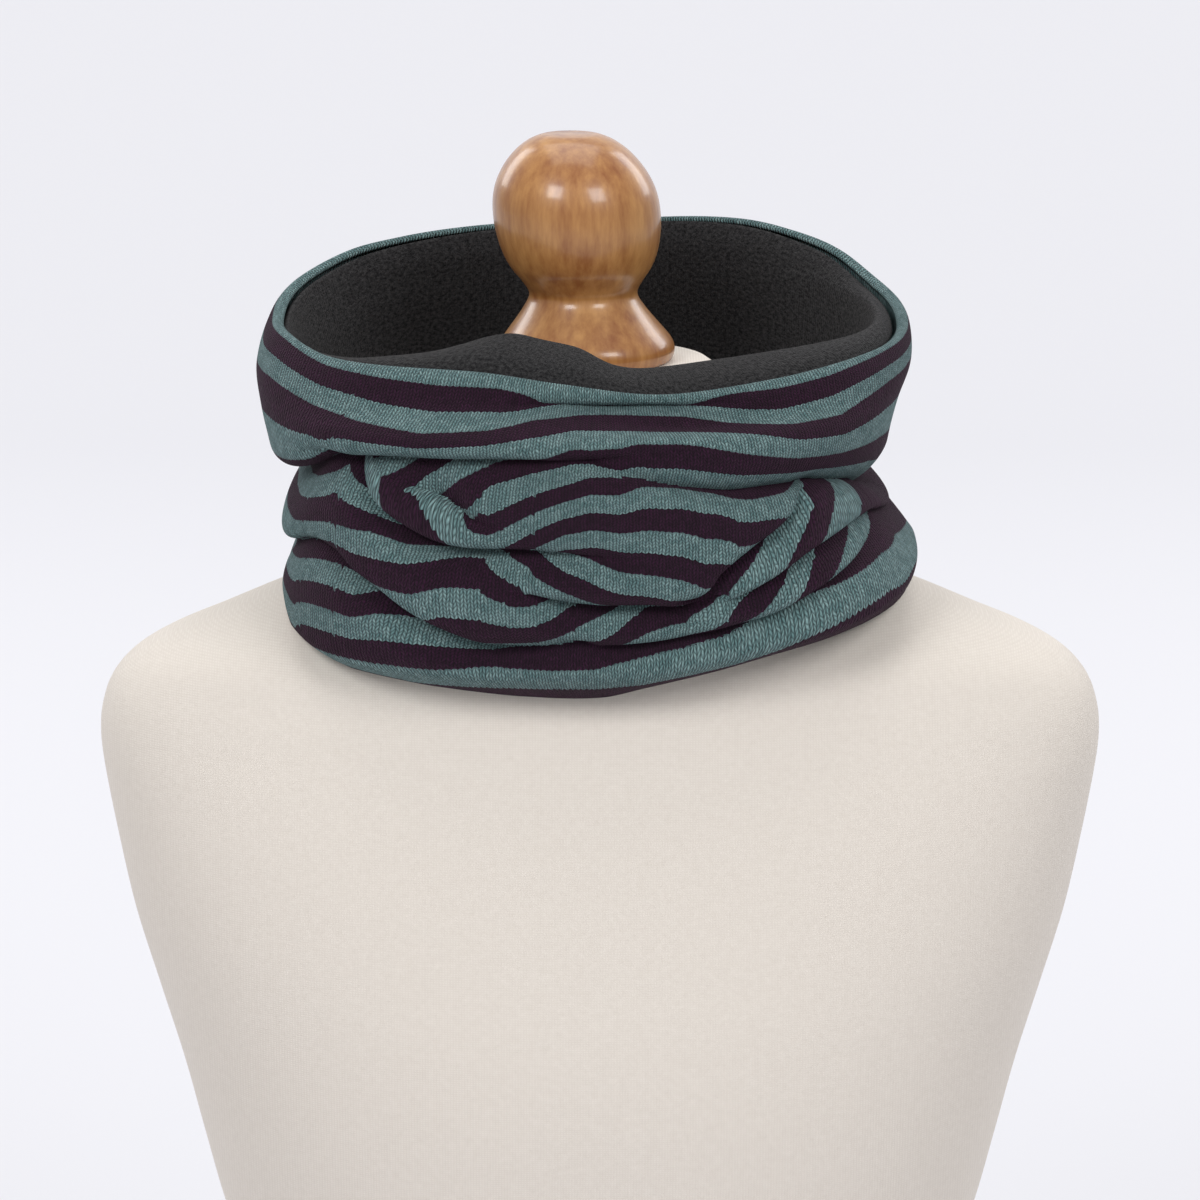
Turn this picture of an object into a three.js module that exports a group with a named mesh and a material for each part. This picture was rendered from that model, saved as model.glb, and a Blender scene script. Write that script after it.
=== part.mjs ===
// Infinity scarf: a double-layer knitted loop scrunched round the neck of a limbless dress form
// with a turned wooden neck knob. Millimetres, +Z up, front towards -Y, left of the picture is -X.
// Every section of the cloth lies in a half-plane through the neck axis, and degrees run from the
// front (0) over the right side (90) to the back (180) and the left side (-90).

import * as THREE from 'three';

// Driving sizes in mm.
const WALL = 2.0;            // thickness of one knitted layer
const SEAM_GAP = 0.3;        // air between two pieces at a seam
const OUTER_COLUMNS = 80;    // columns round the outer tube
const OUTER_ROWS = 33;       // rows down each side of the outer tube
const LINING_COLUMNS = 72;
const LINING_ROWS = 12;
const TORSO_COLUMNS = 44;
const KNOB_COLUMNS = 28;
const FINE_STEPS = 360;      // points on a section before its rows are spaced out
const FOLD_SHARPNESS = 0.95; // 1 would be a knife-edge crease
const NECK_TOP = 556;
const WIDEST_Z = 414;        // height of the widest ring of the shoulders
const OUTER_CLEAR = 0.8;     // outer tube above the shoulders
const LINING_CLEAR = 0.8;    // lining above the shoulders
const FOOT_RISE = 5;         // least height of the foot row above the shoulders

// A row of each table becomes an object with the named columns.
function table(columns, rows) {
  const names = columns.split(' ');
  return rows.map((row) => Object.fromEntries(names.map((name, i) => [name, row[i]])));
}

// Rings of the dress form: half width, reach to the front and to the back, fullness of the plan.
const TORSO = table('z half front back full', [
  [0, 150, 95, 115, 2.3],
  [24, 151, 96, 116, 2.3],
  [55, 146.5, 94, 111, 2.3],
  [85, 136, 89, 100, 2.25],
  [112, 127, 84.5, 90, 2.2],
  [138, 123.5, 84, 86, 2.2],
  [165, 127.5, 90, 87.5, 2.2],
  [195, 138, 99.5, 91.5, 2.2],
  [225, 148, 107.5, 95, 2.2],
  [255, 155.5, 113.5, 97, 2.25],
  [285, 163, 116, 98.5, 2.25],
  [315, 172, 113.5, 99.5, 2.25],
  [344, 180.5, 106.5, 100, 2.3],
  [375, 187, 97, 99.5, 2.35],
  [400, 191.5, 88, 98, 2.35],
  [414, 192.8, 83, 96.5, 2.3],
  [425, 191.3, 79.5, 95, 2.25],
  [434, 187.5, 76.5, 92.5, 2.2],
  [442, 180, 74, 90, 2.2],
  [449, 168, 71.5, 87, 2.2],
  [456, 151, 68.5, 83.5, 2.2],
  [463, 134.5, 65, 79.5, 2.2],
  [471, 115, 61, 74.5, 2.15],
  [481, 92, 57, 69, 2.1],
  [493, 70, 53.5, 62.5, 2.05],
  [507, 57, 51, 57, 2],
  [528, 50.5, 48, 51.5, 2],
  [546, 48.5, 46, 49, 2],
  [NECK_TOP - 3.5, 46, 43.5, 46.5, 2],
  [NECK_TOP, 41, 39.5, 41.5, 2],
]);

// Height of the scarf's top edge round the neck.
const RIM = table('deg z', [
  [-180, 597], [-150, 595], [-125, 590], [-110, 583], [-90, 574], [-75, 572], [-60, 567],
  [-30, 566], [-10, 562], [15, 558], [40, 562], [60, 567], [90, 573], [110, 580], [125, 591],
  [145, 598], [180, 597],
]);

// Height of its lowest edge, where it isn't lifted further by the shoulders.
const SOLE = table('deg z', [
  [-180, 455], [-120, 458], [-90, 458], [-69, 455], [-59, 451], [-48, 448], [-40, 446], [-21, 443],
  [0, 442.5], [12, 446], [29, 452], [42, 458], [51, 462], [59, 466], [68, 470], [78, 473],
  [95, 474], [120, 468], [150, 460], [180, 455],
]);

// Rise of the lining above the rim where it swells inside the collar.
const MOUND = table('deg rise', [
  [-180, -18], [-105, -15], [-75, -9], [-58, -0.5], [-48, 3], [-32, 8.8], [-20, 9.1], [-8, 9],
  [5, 6.1], [22, 5.9], [34, 5.2], [48, 4], [60, 2.6], [75, 1.5], [90, 1], [110, -3], [125, -10],
  [150, -17], [180, -18],
]);

// Outer tube without its folds, from the rim down. Heights of 0 or less count from the rim.
// Reach from the axis to the left, front, right and back, and fullness of the plan.
const OUTER = table('name zLeft zFront zRight zBack left front right back full', [
  ['seam', -1.5, -1.5, -1.5, -0.7, 120, 80, 112.5, 83.6, 2.4],
  ['rim', 0, 0, 0, 0, 123, 83, 116, 85.2, 2.4],
  ['collar', -4, -3.5, -4, -5, 126.5, 85.5, 118, 87.5, 2.4],
  ['band_top', -17, -10.5, -14, -18, 130.5, 89, 118, 92, 2.4],
  ['band', 542, 544, 545, 556, 129, 101, 113.5, 95, 2.4],
  ['band_hem', 528, 536, 531, 540, 126, 105, 110, 96, 2.4],
  ['roll_a', 513, 520, 516, 522, 122.5, 105.5, 108, 97, 2.45],
  ['roll_b', 499, 504, 502, 506, 121.5, 105.5, 112, 98, 2.5],
  ['roll_c', 485, 487, 490, 490, 122, 105, 118, 98, 2.6],
  ['roll_d', 472, 470, 480, 474, 121.5, 101, 121, 96, 2.8],
  ['foot', 459, 453, 464, 462, 121, 94, 120.5, 92, 3],
  ['sole', 446, 444, 456, 452, 118.5, 77, 118, 86, 3],
]);

// Lining, the side towards the neck, from the rim over the mound at the front down to the
// shoulders. The upper four levels count from the rim and add this share of the mound's rise.
const LINING = table('name share zLeft zFront zRight zBack left front right back full', [
  ['seam', 0, -3.2, -3.2, -3.2, -1.1, 118.4, 78.4, 110.9, 81.5, 2.4],
  ['slope', 0.52, -0.7, -0.7, -0.7, -0.7, 116.5, 73, 108.5, 78.5, 2.4],
  ['mound', 1, 0, 0, 0, 0, 114.5, 63, 106, 78.5, 2.35],
  ['crest', 1.3, -3.5, -3.5, -3.5, -3.5, 112, 57, 103.5, 79, 2.3],
  ['neck_a', 0, 540, 557, 541, 552, 107, 54.6, 99, 81, 2.3],
  ['neck_b', 0, 526, 530, 527, 532, 101.5, 54.8, 94, 81.5, 2.3],
  ['neck_c', 0, 511, 508, 512, 511, 98, 56.5, 89.5, 81, 2.3],
  ['neck_d', 0, 494, 488, 495, 490, 97, 60, 88, 80.5, 2.35],
  ['turn', 0, 482, 470, 484, 473, 100, 66, 91, 80.5, 2.4],
  ['hem', 0, 474, 455, 476, 463, 107, 72.5, 99, 81, 2.5],
]);

// Folds of the outer tube. z is the height of the lip seen from outside and cut the depth of the
// trough behind it. The reach above and below is along the section. A positive lift tips the
// trough upwards, so that the roll above overhangs, and a negative one lets the lower roll stand.
function fold(name, above, below, lift, stations) {
  return { name, above, below, lift, stations: table('deg z cut', stations) };
}

const FOLDS = [
  fold('under_band', 16, 15, 35, [
    [-135, 530, 0], [-110, 521, 12], [-90, 520, 19], [-75, 521, 18], [-66, 525, 16],
    [-58, 531, 15], [-45, 535, 14], [-32, 536, 14], [-18, 537, 13], [-8, 537, 9], [5, 539, 4],
    [18, 541, 2], [32, 541, 0],
  ]),
  fold('right_tuck', 14, 14, -15, [
    [-10, 535, 0], [-2, 533, 4], [4, 532, 5], [10, 529, 7], [19, 526, 9], [27, 524, 10],
    [38, 524, 11], [50, 523, 12], [66, 518, 12], [80, 512, 13], [90, 510, 13], [105, 512, 9],
    [125, 518, 0],
  ]),
  fold('left_diagonal', 11, 13, 35, [
    [-68, 530, 0], [-60, 532, 3], [-56, 532, 6], [-51, 527, 9], [-45, 518, 12], [-40, 512, 13],
    [-33, 506, 13], [-27, 504, 13], [-16, 504, 11], [-7, 503, 7], [0, 502, 4], [10, 501, 0],
  ]),
  fold('inner_vee', 9, 7, -25, [
    [-44, 525, 0], [-38, 522, 4], [-33, 520, 7], [-28, 517, 6], [-25, 514, 4], [-18, 512, 0],
  ]),
  fold('left_second', 12, 13, 35, [
    [-125, 492, 0], [-105, 488, 7], [-90, 488, 10], [-75, 493, 10], [-62, 499, 9], [-54, 497, 10],
    [-49, 491, 10], [-44, 486, 11], [-36, 476, 11], [-26, 468, 11], [-19, 467, 9], [-7, 467, 5],
    [0, 467, 0],
  ]),
  fold('mid_lap', 12, 12, 35, [
    [-22, 489, 0], [-16, 488, 4], [-9, 485, 9], [0, 483, 10], [10, 483, 11], [19, 482, 10],
    [26, 486, 0],
  ]),
  fold('right_diagonal_a', 10, 10, 20, [
    [14, 483, 0], [21, 485, 8], [24, 493, 9], [31, 503, 9], [38, 511, 9], [42, 519, 8],
    [44, 523, 5], [50, 527, 0],
  ]),
  fold('right_diagonal_b', 10, 10, 30, [
    [20, 483, 0], [27, 485, 5], [35, 492, 8], [42, 499, 9], [50, 504, 9], [58, 507, 9],
    [66, 507, 9], [90, 501, 7], [110, 500, 0],
  ]),
  fold('foot_roll', 11, 12, 30, [
    [-12, 467, 0], [-4, 467, 4], [4, 467, 7], [15, 469, 8], [23, 472, 8], [29, 475, 8],
    [35, 478, 8], [43, 485, 8], [51, 492, 7], [60, 499, 5], [68, 504, 0],
  ]),
  fold('collar_groove', 6, 8, 10, [
    [-22, 555, 0], [-13, 555, 3], [0, 554, 5], [12, 554, 5], [21, 554, 4], [34, 556, 0],
  ]),
  fold('back_upper', 14, 14, 30, [
    [100, 536, 0], [125, 541, 7], [150, 544, 8], [180, 541, 7], [205, 540, 8], [228, 538, 6],
    [250, 534, 0],
  ]),
  fold('back_middle', 13, 13, -15, [
    [118, 520, 0], [138, 516, 8], [162, 510, 9], [185, 509, 8], [208, 513, 8], [235, 519, 0],
  ]),
  fold('back_lower', 12, 12, 30, [
    [95, 486, 0], [120, 488, 7], [145, 484, 8], [175, 480, 8], [205, 482, 8], [230, 487, 7],
    [252, 490, 0],
  ]),
];

// Turned knob: radius at each height above the neck. Its axis leans to the left.
const KNOB_LEAN = 0.08;      // sideways step for each step up
const KNOB_X = -4.3;
const KNOB = table('h radius', [
  [0, 30.8], [1, 32], [3.5, 33], [6, 33], [8.5, 32], [11.5, 29.8], [15, 27], [19.5, 23.6],
  [24, 20.9], [27, 20.9], [31, 23.4], [36, 27], [42.5, 29.8], [50, 31.4], [56.6, 31.8], [63, 31.2],
  [69, 29.3], [75, 25.8], [80, 21.4], [83.5, 16.8], [85.3, 13], [86, 10.6],
]);

const radians = (deg) => (deg * Math.PI) / 180;

// Smooth height through stations of equal standing, level outside them.
function through(stations, key, deg) {
  const last = stations.length - 1;
  const x = Math.min(Math.max(deg, stations[0].deg), stations[last].deg);
  let i = 0;
  while (i < last - 1 && x > stations[i + 1].deg) i += 1;
  const slope = (k) => {
    const a = stations[Math.max(k - 1, 0)];
    const b = stations[Math.min(k + 1, last)];
    return (b[key] - a[key]) / (b.deg - a.deg);
  };
  return cubic(stations[i][key], stations[i + 1][key], slope(i), slope(i + 1),
    stations[i + 1].deg - stations[i].deg, x - stations[i].deg);
}

function cubic(y0, y1, m0, m1, width, x) {
  const f = x / width;
  const f2 = f * f;
  const f3 = f2 * f;
  return (2 * f3 - 3 * f2 + 1) * y0 + (f3 - 2 * f2 + f) * width * m0
    + (3 * f2 - 2 * f3) * y1 + (f3 - f2) * width * m1;
}

// Value of a ring's column at a height, straight between the rings.
function ringAt(z) {
  const rings = TORSO;
  let i = 0;
  while (i < rings.length - 2 && z > rings[i + 1].z) i += 1;
  const f = (z - rings[i].z) / (rings[i + 1].z - rings[i].z);
  const mix = (key) => rings[i][key] + f * (rings[i + 1][key] - rings[i][key]);
  return { half: mix('half'), front: mix('front'), back: mix('back'), full: mix('full') };
}

// Height of the dress form above a point, searched upwards from its widest ring.
function torsoTop(x, y) {
  let low = WIDEST_Z;
  let high = NECK_TOP;
  for (let k = 0; k < 30; k += 1) {
    const middle = (low + high) / 2;
    const ring = ringAt(middle);
    const depth = y < 0 ? ring.front : ring.back;
    const inside = Math.abs(x / ring.half) ** ring.full + Math.abs(y / depth) ** ring.full < 1;
    if (inside) low = middle;
    else high = middle;
  }
  return low;
}

// Plan radius and height of a level in one direction.
function levelRadius(level, phi) {
  const s = Math.sin(phi);
  const c = Math.cos(phi);
  const side = s < 0 ? level.left : level.right;
  const face = c > 0 ? level.front : level.back;
  return (Math.abs(s / side) ** level.full + Math.abs(c / face) ** level.full) ** (-1 / level.full);
}

function levelHeight(level, phi, isFromRim) {
  const s = Math.sin(phi);
  const c = Math.cos(phi);
  const side = s < 0 ? level.zLeft : level.zRight;
  const face = c > 0 ? level.zFront : level.zBack;
  const height = side * s * s + face * c * c;
  return isFromRim ? height + through(RIM, 'z', (phi * 180) / Math.PI) : height;
}

function rideOn(point, phi, clear) {
  const top = torsoTop(point.r * Math.sin(phi), -point.r * Math.cos(phi)) + clear;
  return { r: point.r, z: Math.max(point.z, top) };
}

// Smooth curve through the levels of one section, with its running length.
function throughLevels(points, steps) {
  const last = points.length - 1;
  const at = (i) => points[Math.min(Math.max(i, 0), last)];
  const curve = [];
  for (let k = 0; k <= steps; k += 1) {
    const t = (k / steps) * last;
    const i = Math.min(Math.floor(t), last - 1);
    const value = (key) => cubic(at(i)[key], at(i + 1)[key], (at(i + 1)[key] - at(i - 1)[key]) / 2,
      (at(i + 2)[key] - at(i)[key]) / 2, 1, t - i);
    curve.push({ r: value('r'), z: value('z') });
  }
  return curve;
}

function runningLength(curve) {
  const lengths = [0];
  for (let k = 1; k < curve.length; k += 1) {
    lengths.push(lengths[k - 1] + Math.hypot(curve[k].r - curve[k - 1].r, curve[k].z - curve[k - 1].z));
  }
  return lengths;
}

// Share of the cut at a distance from the bottom of the trough, 1 there and 0 at its reach.
function troughShare(distance, reach) {
  const q = Math.max(1 - distance / reach, 0);
  const c = FOLD_SHARPNESS;
  return (1 - Math.sqrt(1 - c * c * q * q)) / (1 - Math.sqrt(1 - c * c));
}

// Distance from the visible lip to the bottom of the trough, along the section.
function lipOffset(cut, reach, lift) {
  const rise = Math.abs(Math.sin(lift)) * cut;
  let least = rise;
  for (let k = 1; k <= 40; k += 1) {
    const distance = (k / 40) * reach;
    least = Math.min(least, distance + rise * troughShare(distance, reach));
  }
  return least;
}

function foldAt(item, phi, curve, lengths) {
  const { stations } = item;
  const first = stations[0].deg;
  const last = stations[stations.length - 1].deg;
  const centre = (first + last) / 2;
  const turn = (phi * 180) / Math.PI - centre;
  const deg = centre + turn - 360 * Math.round(turn / 360);
  if (deg <= first || deg >= last) return null;
  const cut = Math.max(through(stations, 'cut', deg), 0);
  const lift = radians(item.lift);
  const reach = lift > 0 ? item.above : item.below;
  const offset = lipOffset(cut, reach, lift);
  const z = through(stations, 'z', deg) + (lift > 0 ? -offset : offset);
  let k = curve.findIndex((point, i) => i > 0 && curve[i - 1].z > point.z && point.z <= z);
  if (k < 1) k = curve.length - 1;
  return { cut, lift, above: item.above, below: item.below, at: lengths[k] };
}

// Points of the outer tube's section. The inner face takes the same folds widened by the wall.
function outerSection(phi) {
  const points = OUTER.map((level) => ({
    r: levelRadius(level, phi),
    z: levelHeight(level, phi, level.zLeft <= 0),
  }));
  const sole = through(SOLE, 'z', (phi * 180) / Math.PI);
  const foot = points[points.length - 2];
  foot.z = Math.max(Math.min(foot.z, sole + 14), sole + 8);
  points[points.length - 2] = rideOn(foot, phi, OUTER_CLEAR + FOOT_RISE);
  points[points.length - 1] = rideOn({ r: points[points.length - 1].r, z: sole }, phi, OUTER_CLEAR);
  const curve = throughLevels(points, FINE_STEPS);
  const lengths = runningLength(curve);
  const folds = FOLDS.map((item) => foldAt(item, phi, curve, lengths)).filter(Boolean);
  const displaced = (wall) => curve.map((point, k) => {
    const before = curve[Math.max(k - 1, 0)];
    const after = curve[Math.min(k + 1, FINE_STEPS)];
    const size = Math.hypot(after.r - before.r, after.z - before.z);
    let r = point.r + (wall * (after.z - before.z)) / size;
    let z = point.z - (wall * (after.r - before.r)) / size;
    folds.forEach((trough) => {
      const along = lengths[k] - trough.at;
      const distance = Math.max(Math.abs(along) - wall, 0);
      const amount = trough.cut * troughShare(distance, along < 0 ? trough.above : trough.below);
      r -= amount * Math.cos(trough.lift);
      z += amount * Math.sin(trough.lift);
    });
    return { r, z };
  });
  const face = displaced(0);
  const inside = displaced(WALL);
  const rows = evenRows(face, OUTER_ROWS);
  return { face: rows.map((k) => face[k]), inside: rows.map((k) => inside[k]) };
}

// Indices of rows spaced evenly along a curve.
function evenRows(curve, count) {
  const lengths = runningLength(curve);
  const total = lengths[lengths.length - 1];
  const rows = [];
  for (let i = 0; i < count; i += 1) {
    const wanted = (total * i) / (count - 1);
    let k = lengths.findIndex((length) => length >= wanted - 1e-9);
    if (k < 0) k = lengths.length - 1;
    rows.push(k);
  }
  return rows;
}

function liningSection(phi) {
  const points = LINING.map((level) => ({
    r: levelRadius(level, phi),
    z: levelHeight(level, phi, level.zBack <= 0)
      + level.share * through(MOUND, 'rise', (phi * 180) / Math.PI),
  }));
  const last = points.length - 1;
  points[last - 1] = rideOn(points[last - 1], phi, LINING_CLEAR);
  points[last] = rideOn(points[last], phi, LINING_CLEAR);
  const curve = throughLevels(points, FINE_STEPS);
  const rows = evenRows(curve, LINING_ROWS);
  const face = rows.map((k) => curve[k]);
  const inside = rows.map((k) => {
    const before = curve[Math.max(k - 1, 0)];
    const after = curve[Math.min(k + 1, FINE_STEPS)];
    const size = Math.hypot(after.r - before.r, after.z - before.z);
    return {
      r: curve[k].r - (WALL * (after.z - before.z)) / size,
      z: curve[k].z + (WALL * (after.r - before.r)) / size,
    };
  });
  return { face, inside };
}

function solid(name, positions, indices, colour, roughness) {
  const geometry = new THREE.BufferGeometry();
  geometry.setAttribute('position', new THREE.Float32BufferAttribute(positions, 3));
  geometry.setIndex(indices);
  geometry.computeVertexNormals();
  const material = new THREE.MeshStandardMaterial({ color: colour, roughness, metalness: 0 });
  const mesh = new THREE.Mesh(geometry, material);
  mesh.name = name;
  return mesh;
}

// Closed ring of cloth: round each section, the face downwards and the inside back up.
function clothTube(name, columns, section, faceIsOutside, colour) {
  const positions = [];
  const indices = [];
  let loop = 0;
  for (let i = 0; i < columns; i += 1) {
    const phi = -Math.PI + (2 * Math.PI * i) / columns;
    const { face, inside } = section(phi);
    const ring = [...face, ...inside.reverse()];
    loop = ring.length;
    ring.forEach(({ r, z }) => positions.push(r * Math.sin(phi), -r * Math.cos(phi), z));
  }
  for (let i = 0; i < columns; i += 1) {
    const here = i * loop;
    const next = ((i + 1) % columns) * loop;
    for (let j = 0; j < loop; j += 1) {
      const down = (j + 1) % loop;
      const quad = [here + j, here + down, next + down, next + j];
      if (!faceIsOutside) quad.reverse();
      indices.push(quad[0], quad[1], quad[2], quad[0], quad[2], quad[3]);
    }
  }
  return solid(name, positions, indices, colour, 0.95);
}

// Closed stack of rings, capped flat at both ends.
function stack(name, rings, columns, colour, roughness) {
  const positions = [];
  const indices = [];
  rings.forEach((ring) => positions.push(...ring.flat()));
  for (let j = 0; j < rings.length - 1; j += 1) {
    for (let i = 0; i < columns; i += 1) {
      const a = j * columns + i;
      const b = j * columns + ((i + 1) % columns);
      indices.push(a, b, b + columns, a, b + columns, a + columns);
    }
  }
  const bottom = positions.length / 3;
  const middle = (ring) => {
    const sum = ring.reduce((total, point) => total.map((value, k) => value + point[k]), [0, 0, 0]);
    return sum.map((value) => value / columns);
  };
  positions.push(...middle(rings[0]), ...middle(rings[rings.length - 1]));
  const top = (rings.length - 1) * columns;
  for (let i = 0; i < columns; i += 1) {
    const next = (i + 1) % columns;
    indices.push(bottom, next, i, bottom + 1, top + i, top + next);
  }
  return solid(name, positions, indices, colour, roughness);
}

function torsoRing(ring) {
  return Array.from({ length: TORSO_COLUMNS }, (_, i) => {
    const t = (2 * Math.PI * i) / TORSO_COLUMNS;
    const c = Math.cos(t);
    const s = Math.sin(t);
    const depth = s < 0 ? ring.front : ring.back;
    const power = 2 / ring.full;
    return [Math.sign(c) * ring.half * Math.abs(c) ** power,
      Math.sign(s) * depth * Math.abs(s) ** power, ring.z];
  });
}

function knobRing({ h, radius }) {
  const z = NECK_TOP + SEAM_GAP + h;
  return Array.from({ length: KNOB_COLUMNS }, (_, i) => {
    const t = (2 * Math.PI * i) / KNOB_COLUMNS;
    return [KNOB_X - KNOB_LEAN * h + radius * Math.cos(t), radius * Math.sin(t), z];
  });
}

const part = new THREE.Group();
part.name = 'infinity_scarf';
part.add(clothTube('scarf_outer', OUTER_COLUMNS, outerSection, true, 0x6f9a96));
part.add(clothTube('scarf_lining', LINING_COLUMNS, liningSection, false, 0x3a3a3c));
part.add(stack('form_torso', TORSO.map(torsoRing), TORSO_COLUMNS, 0xddd8d0, 0.9));
part.add(stack('form_knob', KNOB.map(knobRing), KNOB_COLUMNS, 0xc07a35, 0.35));

export default part;
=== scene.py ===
"""Infinity scarf on a limbless dress form: a striped knitted loop, scrunched into soft rolls.

Metres, +Z up, front towards -Y. The tables are in millimetres and degrees. Degrees run from the
front (0) over the right side (90) to the back (180) and the left side (-90).
"""

import math

import bpy
import numpy as np
from mathutils import Matrix, Vector


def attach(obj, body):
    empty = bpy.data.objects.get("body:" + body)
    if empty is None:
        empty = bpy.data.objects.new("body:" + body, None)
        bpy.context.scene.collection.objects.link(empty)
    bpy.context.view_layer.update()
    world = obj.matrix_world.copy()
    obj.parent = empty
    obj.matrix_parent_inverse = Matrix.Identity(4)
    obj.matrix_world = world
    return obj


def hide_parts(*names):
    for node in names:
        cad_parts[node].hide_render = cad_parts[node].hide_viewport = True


bl_info = {
    "name": "Infinity scarf on a dress form",
    "version": (1, 0, 0),
    "blender": (4, 5, 0),
    "location": "View3D > Sidebar > Scarf",
    "description": "Builds a scrunched double-layer loop scarf, its dress form and a studio",
    "category": "Add Mesh",
}

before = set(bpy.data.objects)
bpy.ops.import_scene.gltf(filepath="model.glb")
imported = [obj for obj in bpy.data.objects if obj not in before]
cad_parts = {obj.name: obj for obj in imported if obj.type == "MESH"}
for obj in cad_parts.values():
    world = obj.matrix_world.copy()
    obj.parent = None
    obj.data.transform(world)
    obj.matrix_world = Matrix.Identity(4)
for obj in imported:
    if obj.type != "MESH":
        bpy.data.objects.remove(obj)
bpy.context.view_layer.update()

MM = 0.001
NECK_TOP = 556.0        # top of the form's neck
WIDEST_Z = 414.0        # height of the form's widest ring
SEAM_GAP = 0.3          # air between two pieces at a seam
OUTER_CLEAR = 0.8       # outer tube above the shoulders
LINING_CLEAR = 0.8      # lining above the shoulders
FOOT_RISE = 5.0         # least height of the foot row above the shoulders
FOLD_SHARPNESS = 0.95   # 1 would be a knife-edge crease
COURSES_A_STRIPE = 7    # knitted rows in one stripe
WALES_ROUND = 280       # knitted columns round the tube
SWITCH_DEG = 97.0       # the stripe guides of the front hold up to here on both sides
HANDOVER_DEG = 4.0      # outside its span a guide leaves a fold over this
PITCH_DEG = 13.0        # the camera looks down by this
KNOB_LEAN_DEG = 4.6     # the grain of the knob leans with it
FOOT_LEAST = 8.0        # least height of the foot row above the sole
FOOT_MOST = 14.0        # greatest height of the foot row above the sole
LEVEL_GAP = 5.0         # least height of a lifted level above the one below it
HALVINGS = 30           # of the search for the form's top
TROUGH_STEPS = 41       # points tried along a tilted trough
OUTER_STEPS = 900       # points down the plain curve of the outer tube
SOLE_STEPS = 200        # the last of these, where the cloth turns under the foot
LINING_STEPS = 500      # points down the plain curve of the lining
RING_STEPS = 5          # mesh rings for each ring in the tables of the form
KNOB_COLUMNS = 96       # mesh columns round the knob
INNER_ROWS = 40         # mesh rows up the inside of the outer tube
LINING_COLUMNS = 320    # mesh columns round the lining
LINING_ROWS = 90        # mesh rows down the lining
LINING_INNER_ROWS = 30  # mesh rows up the side of the lining that can't be seen
EDGE_REACH = 7          # columns to each side over which the edges of a fold are averaged
KNOT_GAP = 0.02         # least distance between two guides down a section
KNOT_JUMP = 12.0        # where guides differ by more, two columns aren't joined


def table(columns, rows):
    """Turns rows of numbers into one array for each named column."""
    names = columns.split()
    return {name: np.array([row[i] for row in rows], dtype=float) for i, name in enumerate(names)}


# Rings of the dress form: half width, reach to the front and to the back, fullness of the plan.
TORSO = table("z half front back full", [
    (0, 150, 95, 115, 2.3), (24, 151, 96, 116, 2.3), (55, 146.5, 94, 111, 2.3),
    (85, 136, 89, 100, 2.25), (112, 127, 84.5, 90, 2.2), (138, 123.5, 84, 86, 2.2),
    (165, 127.5, 90, 87.5, 2.2), (195, 138, 99.5, 91.5, 2.2), (225, 148, 107.5, 95, 2.2),
    (255, 155.5, 113.5, 97, 2.25), (285, 163, 116, 98.5, 2.25), (315, 172, 113.5, 99.5, 2.25),
    (344, 180.5, 106.5, 100, 2.3), (375, 187, 97, 99.5, 2.35), (400, 191.5, 88, 98, 2.35),
    (414, 192.8, 83, 96.5, 2.3), (425, 191.3, 79.5, 95, 2.25), (434, 187.5, 76.5, 92.5, 2.2),
    (442, 180, 74, 90, 2.2), (449, 168, 71.5, 87, 2.2), (456, 151, 68.5, 83.5, 2.2),
    (463, 134.5, 65, 79.5, 2.2), (471, 115, 61, 74.5, 2.15), (481, 92, 57, 69, 2.1),
    (493, 70, 53.5, 62.5, 2.05), (507, 57, 51, 57, 2), (528, 50.5, 48, 51.5, 2),
    (546, 48.5, 46, 49, 2), (552.5, 46, 43.5, 46.5, 2), (556, 41, 39.5, 41.5, 2),
])

# Height of the scarf's top edge round the neck, and of its lowest edge.
RIM = table("deg z", [
    (-180, 597), (-150, 595), (-125, 590), (-110, 583), (-90, 574), (-75, 572), (-60, 567),
    (-30, 566), (-10, 562), (15, 558), (40, 562), (60, 567), (90, 573), (110, 580), (125, 591),
    (145, 598), (180, 597),
])
SOLE = table("deg z", [
    (-180, 455), (-120, 458), (-90, 458), (-69, 455), (-59, 451), (-48, 448), (-40, 446),
    (-21, 443), (0, 442.5), (12, 446), (29, 452), (42, 458), (51, 462), (59, 466), (68, 470),
    (78, 473), (95, 474), (120, 468), (150, 460), (180, 455),
])

# Rise of the lining above the rim where it swells inside the collar.
MOUND = table("deg rise", [
    (-180, -18), (-105, -15), (-75, -9), (-58, -0.5), (-48, 3), (-32, 8.8), (-20, 9.1), (-8, 9),
    (5, 6.1), (22, 5.9), (34, 5.2), (48, 4), (60, 2.6), (75, 1.5), (90, 1), (110, -3), (125, -10),
    (150, -17), (180, -18),
])

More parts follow.
